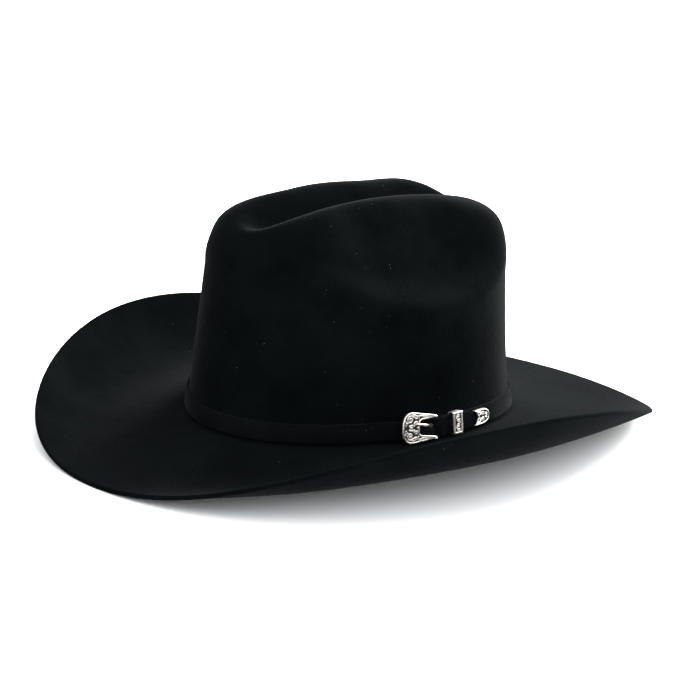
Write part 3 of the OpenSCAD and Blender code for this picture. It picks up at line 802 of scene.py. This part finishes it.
# ---- Inside the crown ----
FELT_IN = -FELT - GAP - 0.05
TAPE_T = 0.33
REED_OFF = FELT_IN - TAPE_T - 0.12 - REED_R
REED_H = -1.2
TAPE_R = REED_R + 0.12
SWEAT_OUT = FELT_IN - TAPE_T - 0.27
INSIDE = 288
ROUND = np.arange(INSIDE) * 2 * np.pi / INSIDE


def hoop(name, section, mat, replaces, wave=None):
    """A closed hoop round the crown; each corner of its section is (off the wall, height)."""
    rings = []
    for off, h in section:
        o = np.full(INSIDE, float(off))
        if wave is not None:
            o = o + wave(ROUND, off, h)
        rings.append(wall_pt(ROUND, np.full(INSIDE, float(h)), o))
    points, faces = lathe_loop(np.stack(rings, 1))
    piece = make(name, points, outward(points, faces), "root", mat, replaces)
    # The distance round runs up one side and back down the other, so it has no jump.
    step = np.linalg.norm(np.diff(rings[0], axis=0, append=rings[0][:1]), axis=1)
    run = np.concatenate([[0], np.cumsum(step)[:-1]])
    run = np.minimum(run, step.sum() - run)
    corners = np.array(section)
    weave_coords(piece, np.stack([np.repeat(run, len(section)), np.tile(corners[:, 0] + corners[:, 1], INSIDE)], 1))
    return piece


def sweatband():
    t = SWEAT_T
    heights = [0.3, 2, 4, 7, 11, 16, 22, 28, 34, 40, 44, SWEAT_H - 0.3]
    section = [(SWEAT_OUT - 0.05, 0.1)] + [(SWEAT_OUT, h) for h in heights]
    section += [(SWEAT_OUT - 0.3 * t, SWEAT_H), (SWEAT_OUT - 0.7 * t, SWEAT_H)]
    section += [(SWEAT_OUT - t, h) for h in heights[::-1]] + [(SWEAT_OUT - t + 0.05, 0.1)]

    def wave(r, off, h):
        loose = smooth((h - 6) / 36)
        ripple = -0.45 * loose * (1 + np.sin(7 * r + 0.6) * np.sin(3 * r + 1.1)) * 0.5
        groove = 0.0 if off > SWEAT_OUT - 0.5 else 0.22
        seam = groove * np.exp(-(((np.degrees(r) - 90) / 0.5) ** 2))
        fold = groove * 0.8 * np.exp(-(((h - 4.6) / 0.8) ** 2))
        return ripple + seam + fold

    hoop("sweatband_leather", section, sweat_leather, ["sweatband"], wave)


def reed():
    def arc(radius, angles):
        return [(REED_OFF + radius * np.cos(k), REED_H + radius * np.sin(k)) for k in np.radians(angles)]

    hoop("reed", arc(REED_R, np.arange(0, 360, 30)), reed_plastic, ["sweatband_reed"])
    outer, inner = (arc(r, np.arange(-180, 1, 18)) for r in (TAPE_R + TAPE_T, TAPE_R))
    section = outer + [(REED_OFF + TAPE_R + TAPE_T, h) for h in (0.2, 2, 4)]
    section += [(REED_OFF + TAPE_R, h) for h in (4, 2, 0.2)] + inner[::-1]
    hoop("reed_tape_fold", section, woven_tape, ["reed_tape"])


def inside_threads():
    face = SWEAT_OUT - SWEAT_T - 0.14
    zig = []
    for i in range(180):
        r0, r1 = np.radians([2.0 * i, 2.0 * i + 1.75])
        h0, h1 = (1.5, 3.1) if i % 2 else (3.1, 1.5)
        a, b = wall_pt(np.array(r0), h0, face), wall_pt(np.array(r1), h1, face)
        zig.append((a, b, -out_dir(np.array(r0))))
    stitches("sweatband_zigzag", zig, 0.17, tan_thread, ["sweatband_stitches"], arch=0.12)
    lace = []
    for i in range(9):
        h = 5.5 + 3.1 * i
        for s in (1, -1):
            a = wall_pt(np.radians(90 - s * 1.1), h, face - 0.1)
            b = wall_pt(np.radians(90 + s * 1.1), h + 2.6, face - 0.1)
            lace.append((a, b, np.array([0, -1.0, 0])))
    stitches("back_lacing", lace, 0.18, tan_thread, ["back_seam"], arch=0.3)


def bow():
    base = wall_pt(np.radians(90.0), SWEAT_H - 12, SWEAT_OUT - SWEAT_T - 1.7)
    parts = []
    for s in (-1, 1):
        # A loop of ribbon out from the knot and back, and a tail below it
        v = np.linspace(0, 1, 22)
        for kind in ("loop", "tail"):
            if kind == "loop":
                a = np.pi * 2 * v
                x = s * (0.6 + 4.6 * (1 - np.cos(a)))
                y = -0.5 - 1.15 * np.sin(a)
                z = 0.6 * np.sin(a / 2)
                width = 2.2 + 1.6 * np.sin(a / 2)
            else:
                x = s * (0.5 + 6.0 * v)
                y = -0.6 + 0.9 * v * v
                z = -1.2 - 6.0 * v**1.3
                width = 2.0 + 1.3 * v
            path = np.stack([x, y, z], 1)
            normal = unit(np.cross(np.gradient(path, axis=0), [0, 0, 1.0]))
            if kind == "tail":
                across = unit(np.cross(np.gradient(path, axis=0), [0, 1.0, 0]))
                normal = np.tile([0, 1.0, 0], (len(path), 1))
            else:
                across = np.tile([0, 0, 1.0], (len(path), 1))
            half = width[:, None] / 2 * across
            t = 0.14 * normal
            rings = np.stack([path - half - t, path + half - t, path + half + t, path - half + t], 1) + base
            points, faces = lathe_loop(rings, closed=False)
            parts.append((points, faces, np.zeros(len(points))))
    # The knot is a soft barrel round the crossing.
    a = np.radians(np.arange(0, 360, 20))
    rings = []
    for z in np.linspace(-2.1, 2.1, 9):
        bulge = 1 - 0.25 * (z / 2.1) ** 2
        rings.append(np.stack([1.5 * bulge * np.cos(a), -0.7 + 0.95 * bulge * np.sin(a), np.full(len(a), z)], 1) + base)
    points, faces = lathe_loop(np.array(rings), closed=False)
    parts.append((points, [f[::-1] for f in faces], np.zeros(len(points))))
    piece = joined("bow", parts, "root", ribbon, ["sweatband_bow"])
    weave_coords(piece, np.concatenate([p for p, _, _ in parts])[:, [0, 2]])


LINER_OUT = -FELT - GAP
LINER_T = 0.3
LINER_TOP_OFF = LINER_OUT - 2.4


def lining():
    heights = np.concatenate([np.linspace(14, SWEAT_H, 8), np.linspace(SWEAT_H + 2.5, LINER_H, 9)])
    lean = LINER_OUT - 2.4 * np.clip((heights - SWEAT_H) / (LINER_H - SWEAT_H), 0, 1)
    section = list(zip(lean, heights)) + list(zip(lean[::-1] - LINER_T, heights[::-1]))

    def gathers(r, off, h):
        near = smooth((h - SWEAT_H + 6) / 12)
        fold = np.sin(64 * r + 1.3 * np.sin(5 * r)) * 0.5 + np.sin(41 * r + 2 * np.sin(3 * r + 1)) * 0.5
        return -0.55 * near * (0.5 + 0.5 * fold)

    side = hoop("lining_side", section, satin, ["liner_side"], gathers)
    a = np.radians(np.arange(0, 360, 36))
    cord = [(LINER_TOP_OFF - 0.6 + 0.8 * np.cos(k), LINER_H + 1.1 + 0.8 * np.sin(k)) for k in a]

    def twist(r, off, h):
        return 0.06 * np.sin(240 * r + 2.5 * h)

    hoop("lining_piping", cord, ribbon, ["liner_piping"], twist)
    rows = []
    for v in np.linspace(0.02, 1, 26):
        p = wall_pt(ROUND, np.full(INSIDE, float(LINER_H)), np.full(INSIDE, LINER_TOP_OFF - 1.8))
        pucker = 0.5 * smooth((v - 0.7) / 0.3) * (np.sin(58 * ROUND + 1.1 * np.sin(4 * ROUND)) - 1) * 0.5
        sag = 0.7 * np.sin(3 * v + 2 * ROUND) * v * (1 - v)
        rows.append(vec(p[:, 0] * v, p[:, 1] * v, p[:, 2] + 1.2 + LINER_RISE * (1 - v * v) + pucker + sag))
    top = np.array(rows)
    bottom = top - [0, 0, LINER_T]
    grid = np.concatenate([top, bottom[::-1]])
    n = len(grid) * INSIDE
    mid = top[0].mean(0)
    points = np.concatenate([grid.reshape(-1, 3), [mid, mid - [0, 0, LINER_T]]])
    faces = ring_quads(len(grid), INSIDE).tolist()
    faces += [[n, i, (i + 1) % INSIDE] for i in range(INSIDE)]
    last = n - INSIDE
    faces += [[n + 1, last + (i + 1) % INSIDE, last + i] for i in range(INSIDE)]
    tip = make("lining_tip", points, faces, "root", satin, ["liner_tip"])
    weave_coords(tip, points[:, :2])


# ---- Materials of the other pieces ----
# The band is the same felt as the hat. Its base is set lighter as painted light, to make up for the shade the band sits
# in at the foot of the crown.
band_felt = felt_material("band_felt", (0.0026, 0.0032, 0.0034))


def silver_material(name, fill, ground=(0.045, 0.036, 0.028, 1), painted_shade_scale=1.0):
    m = material(name, (0.78, 0.75, 0.7), 0.22, 1.0)
    shader = m.node_tree.nodes["Principled BSDF"]
    place = object_coords(m)
    worn = noise(m, place, 900, 3.0)
    rough = ramp(m, worn, "Fac", [(0.35, 0.3), (0.7, 0.48)])
    # A scale below 1 darkens the whole metal as painted shade.
    bright, dull_tone = (tuple(painted_shade_scale * c for c in tone) for tone in ((0.99, 0.95, 0.88), (0.94, 0.89, 0.81)))
    tone = ramp(m, worn, "Fac", [(0.3, bright), (0.75, dull_tone)])
    if fill:
        depth = node(m, "ShaderNodeAttribute", attribute_name="fill")
        mix = node(m, "ShaderNodeMix", data_type="RGBA")
        edge = ramp(m, depth, "Fac", [(0.7, 0.0), (1.0, 1.0)])
        link(m, edge, "Color", mix, 0)
        link(m, tone, "Color", mix, 6)
        mix.inputs[7].default_value = ground
        m.node_tree.links.new(mix.outputs[2], shader.inputs["Base Color"])
        dull = node(m, "ShaderNodeMix", data_type="FLOAT")
        link(m, edge, "Color", dull, 0)
        link(m, rough, "Color", dull, 2)
        dull.inputs[3].default_value = 0.65
        m.node_tree.links.new(dull.outputs[0], shader.inputs["Roughness"])
    else:
        link(m, tone, "Color", shader, "Base Color")
        link(m, rough, "Color", shader, "Roughness")
    fine = noise(m, place, 5000, 2.0)
    b = bump(m, fine, "Fac", 0.15, 0.00005)
    if fill:
        beads = node(m, "ShaderNodeTexVoronoi", Scale=2600.0)
        link(m, place, "Vector", beads, "Vector")
        punched = node(m, "ShaderNodeMath", operation="MULTIPLY")
        link(m, beads, "Distance", punched, 0)
        link(m, depth, "Fac", punched, 1)
        b = bump(m, punched, "Value", 0.8, 0.00012, b)
    link(m, b, "Normal", shader, "Normal")
    return m


antique_silver = silver_material("antique_silver", True)
# The strap tip is the same silver as the buckle, painted darker as painted shade to tone down the back light's
# reflection on it. The dark in its engraved ground is partly the silver's own patina and partly painted shade.
tip_silver_shaded = silver_material("tip_silver_shaded", True, (0.02, 0.017, 0.014, 1), 0.8)
plain_silver = silver_material("plain_silver", False)
silver_wire = silver_material("silver_wire", False)


def woven(name, base, bright, size, rough, sheen):
    """Cloth with a fine over-and-under weave."""
    m = material(name, base, rough, Specular_IOR_Level=0.3, Sheen_Weight=sheen, Sheen_Roughness=0.4)
    shader = m.node_tree.nodes["Principled BSDF"]
    place = object_coords(m)
    cloth = node(m, "ShaderNodeAttribute", attribute_name="weave")
    waves = []
    for direction in ("X", "Z"):
        w = node(m, "ShaderNodeTexWave", Scale=size, Distortion=0.6, bands_direction=direction)
        link(m, cloth, "Vector", w, "Vector")
        waves.append(w)
    both = node(m, "ShaderNodeMath", operation="MULTIPLY")
    link(m, waves[0], "Fac", both, 0)
    link(m, waves[1], "Fac", both, 1)
    broad = noise(m, place, 60, 2.0)
    mixed = node(m, "ShaderNodeMath", operation="ADD")
    link(m, both, "Value", mixed, 0)
    link(m, broad, "Fac", mixed, 1)
    tone = ramp(m, mixed, "Value", [(0.4, base), (1.0, bright)])
    link(m, tone, "Color", shader, "Base Color")
    b = bump(m, both, "Value", 0.5, 0.0001)
    link(m, b, "Normal", shader, "Normal")
    return m


satin = woven("satin", (0.10, 0.10, 0.115), (0.17, 0.17, 0.19), 700, 0.32, 0.3)
woven_tape = woven("woven_tape", (0.012, 0.012, 0.014), (0.03, 0.03, 0.033), 900, 0.8, 0.1)
ribbon = woven("ribbon", (0.010, 0.010, 0.013), (0.03, 0.03, 0.035), 1000, 0.45, 0.2)


def thread_material(name, base, bright, sheen, gloss):
    m = material(name, base, 0.6, Sheen_Weight=sheen, Specular_IOR_Level=gloss)
    shader = m.node_tree.nodes["Principled BSDF"]
    place = object_coords(m)
    twist = node(m, "ShaderNodeTexWave", Scale=1500.0, Distortion=2.0, bands_direction="DIAGONAL")
    link(m, place, "Vector", twist, "Vector")
    tone = ramp(m, twist, "Fac", [(0.2, base), (0.9, bright)])
    link(m, tone, "Color", shader, "Base Color")
    b = bump(m, twist, "Fac", 0.5, 0.0001)
    link(m, b, "Normal", shader, "Normal")
    return m


black_thread = thread_material("black_thread", (0.0015, 0.0015, 0.0018), (0.005, 0.005, 0.0055), 0.01, 0.05)
tan_thread = thread_material("tan_thread", (0.28, 0.21, 0.14), (0.46, 0.38, 0.28), 0.2, 0.5)


def leather_material():
    gloss = {"Specular_IOR_Level": 0.4, "Coat_Weight": 0.08, "Coat_Roughness": 0.35}
    m = material("sweat_leather", (0.06, 0.036, 0.026), 0.5, **gloss)
    shader = m.node_tree.nodes["Principled BSDF"]
    place = object_coords(m)
    grain = node(m, "ShaderNodeTexVoronoi", Scale=950.0, feature="DISTANCE_TO_EDGE")
    link(m, place, "Vector", grain, "Vector")
    broad = noise(m, place, 45, 4.0)
    tone = ramp(m, broad, "Fac", [(0.3, (0.045, 0.026, 0.018)), (0.7, (0.085, 0.052, 0.036))])
    link(m, tone, "Color", shader, "Base Color")
    rough = ramp(m, broad, "Fac", [(0.3, 0.42), (0.75, 0.6)])
    link(m, rough, "Color", shader, "Roughness")
    pores = ramp(m, grain, "Distance", [(0.0, 0.0), (0.25, 1.0)])
    b = bump(m, pores, "Color", 0.35, 0.00015)
    link(m, b, "Normal", shader, "Normal")
    return m


sweat_leather = leather_material()


def plastic_material():
    m = material("reed_plastic", (0.7, 0.68, 0.6), 0.4)
    shader = m.node_tree.nodes["Principled BSDF"]
    place = object_coords(m)
    streak = noise(m, place, 200, 2.0)
    tone = ramp(m, streak, "Fac", [(0.3, (0.66, 0.64, 0.56)), (0.7, (0.76, 0.74, 0.67))])
    link(m, tone, "Color", shader, "Base Color")
    b = bump(m, streak, "Fac", 0.1, 0.0001)
    link(m, b, "Normal", shader, "Normal")
    return m


reed_plastic = plastic_material()

# ---- Build ----
band_strap()
buckle()
prong()
keeper()
strap_tip()
sweatband()
reed()
inside_threads()
bow()
lining()


def recoat(name, mat):
    """A CAD node whose shape stays gets its material."""
    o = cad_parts[name]
    o.data.materials.clear()
    o.data.materials.append(mat)


recoat("buckle_bar", silver_wire)
recoat("tip_rivets", silver_wire)

tacks = []
for t in (40, 90, 140, 220, 270, 315):
    r = np.array(np.radians(t))
    side = unit(vec(-out_dir(r)[1], out_dir(r)[0], 0))
    for k in (-0.9, 0, 0.9):
        foot = wall_pt(r, STRAP_LIFT + STRAP_W - 0.9, STRAP_LOW + STRAP_T / 2 + 0.05) + k * side
        head = wall_pt(r, STRAP_LIFT + STRAP_W + 0.8, 0.12) + k * side
        if k == 0:
            tacks.append((foot, head, out_dir(r)))
stitches("strap_tacks", tacks, 0.22, black_thread, ["band_tacks"], arch=0.3)

m = band_frame(-8, float(fold_off(np.array(-8.0))) + STRAP_T / 2 + 0.22, -8)
rows = []
for z in np.arange(-4, 4.1, 2):
    a, b = placed([(0, 0, z - 0.75), (0, 0, z + 0.75)], m)
    rows.append((a, b, np.array(m.to_3x3())[:, 0]))
stitches("fold_sewing", rows, 0.15, black_thread, ["fold_stitches"], arch=0.1)


# ---- Camera, floor and light ----
AZ, EL, ROLL = np.radians([46.195, 15.111, 2.54])
back = np.array([np.sin(AZ) * np.cos(EL), -np.cos(AZ) * np.cos(EL), np.sin(EL)])
right = np.array([np.cos(AZ), np.sin(AZ), 0])
up = np.cross(back, right)
cam_x = right * np.cos(ROLL) + up * np.sin(ROLL)
cam_y = up * np.cos(ROLL) - right * np.sin(ROLL)
camera = bpy.data.objects.new("camera", bpy.data.cameras.new("camera"))
bpy.context.scene.collection.objects.link(camera)
where = np.array([0, 0.9, 1.7]) - 0.414 * cam_x + 43.863 * cam_y + 1356.15 * back
placing = np.vstack([np.column_stack([cam_x, cam_y, back, where * MM]), [0, 0, 0, 1]])
camera.matrix_world = Matrix([[*map(float, r)] for r in placing])
camera.data.sensor_width = 36
camera.data.lens = 114.5
camera.data.clip_end = 50
bpy.context.scene.camera = camera

floor_mat = material("floor", (0.93, 0.93, 0.93), 0.9, Specular_IOR_Level=0.1)
bpy.ops.mesh.primitive_plane_add(size=30)
floor = bpy.context.object
floor.name = "floor"
floor.data.materials.append(floor_mat)

# A white studio, brighter on the camera's right than on its left
world = bpy.data.worlds.new("world")
bpy.context.scene.world = world
world.use_nodes = True
sky = world.node_tree.nodes["Background"]
sky.inputs["Color"].default_value = (0.97, 0.985, 1.0, 1)
ways = node(world, "ShaderNodeTexCoord")
facing = node(world, "ShaderNodeVectorMath", operation="DOT_PRODUCT")
facing.inputs[1].default_value = (0.69, 0.72, 0)
link(world, ways, "Generated", facing, 0)
level = node(world, "ShaderNodeMapRange")
for key, value in (("From Min", -1), ("From Max", 1), ("To Min", 1.3), ("To Max", 2.9)):
    level.inputs[key].default_value = value
link(world, facing, "Value", level, "Value")
link(world, level, "Result", sky, "Strength")


def area(name, place, target, size, watts):
    lamp = bpy.data.lights.new(name, "AREA")
    lamp.energy, lamp.size = watts, size
    o = bpy.data.objects.new(name, lamp)
    bpy.context.scene.collection.objects.link(o)
    o.location = place
    o.rotation_euler = (Vector(target) - Vector(place)).to_track_quat("-Z", "Y").to_euler()


area("back", (-0.3, 1.8, 0.7), (0, 0, 0.05), 1.2, 200)
area("top", (0.1, 0.6, 1.8), (0, 0, 0.1), 0.8, 15)
bpy.context.scene.view_settings.view_transform = "Standard"
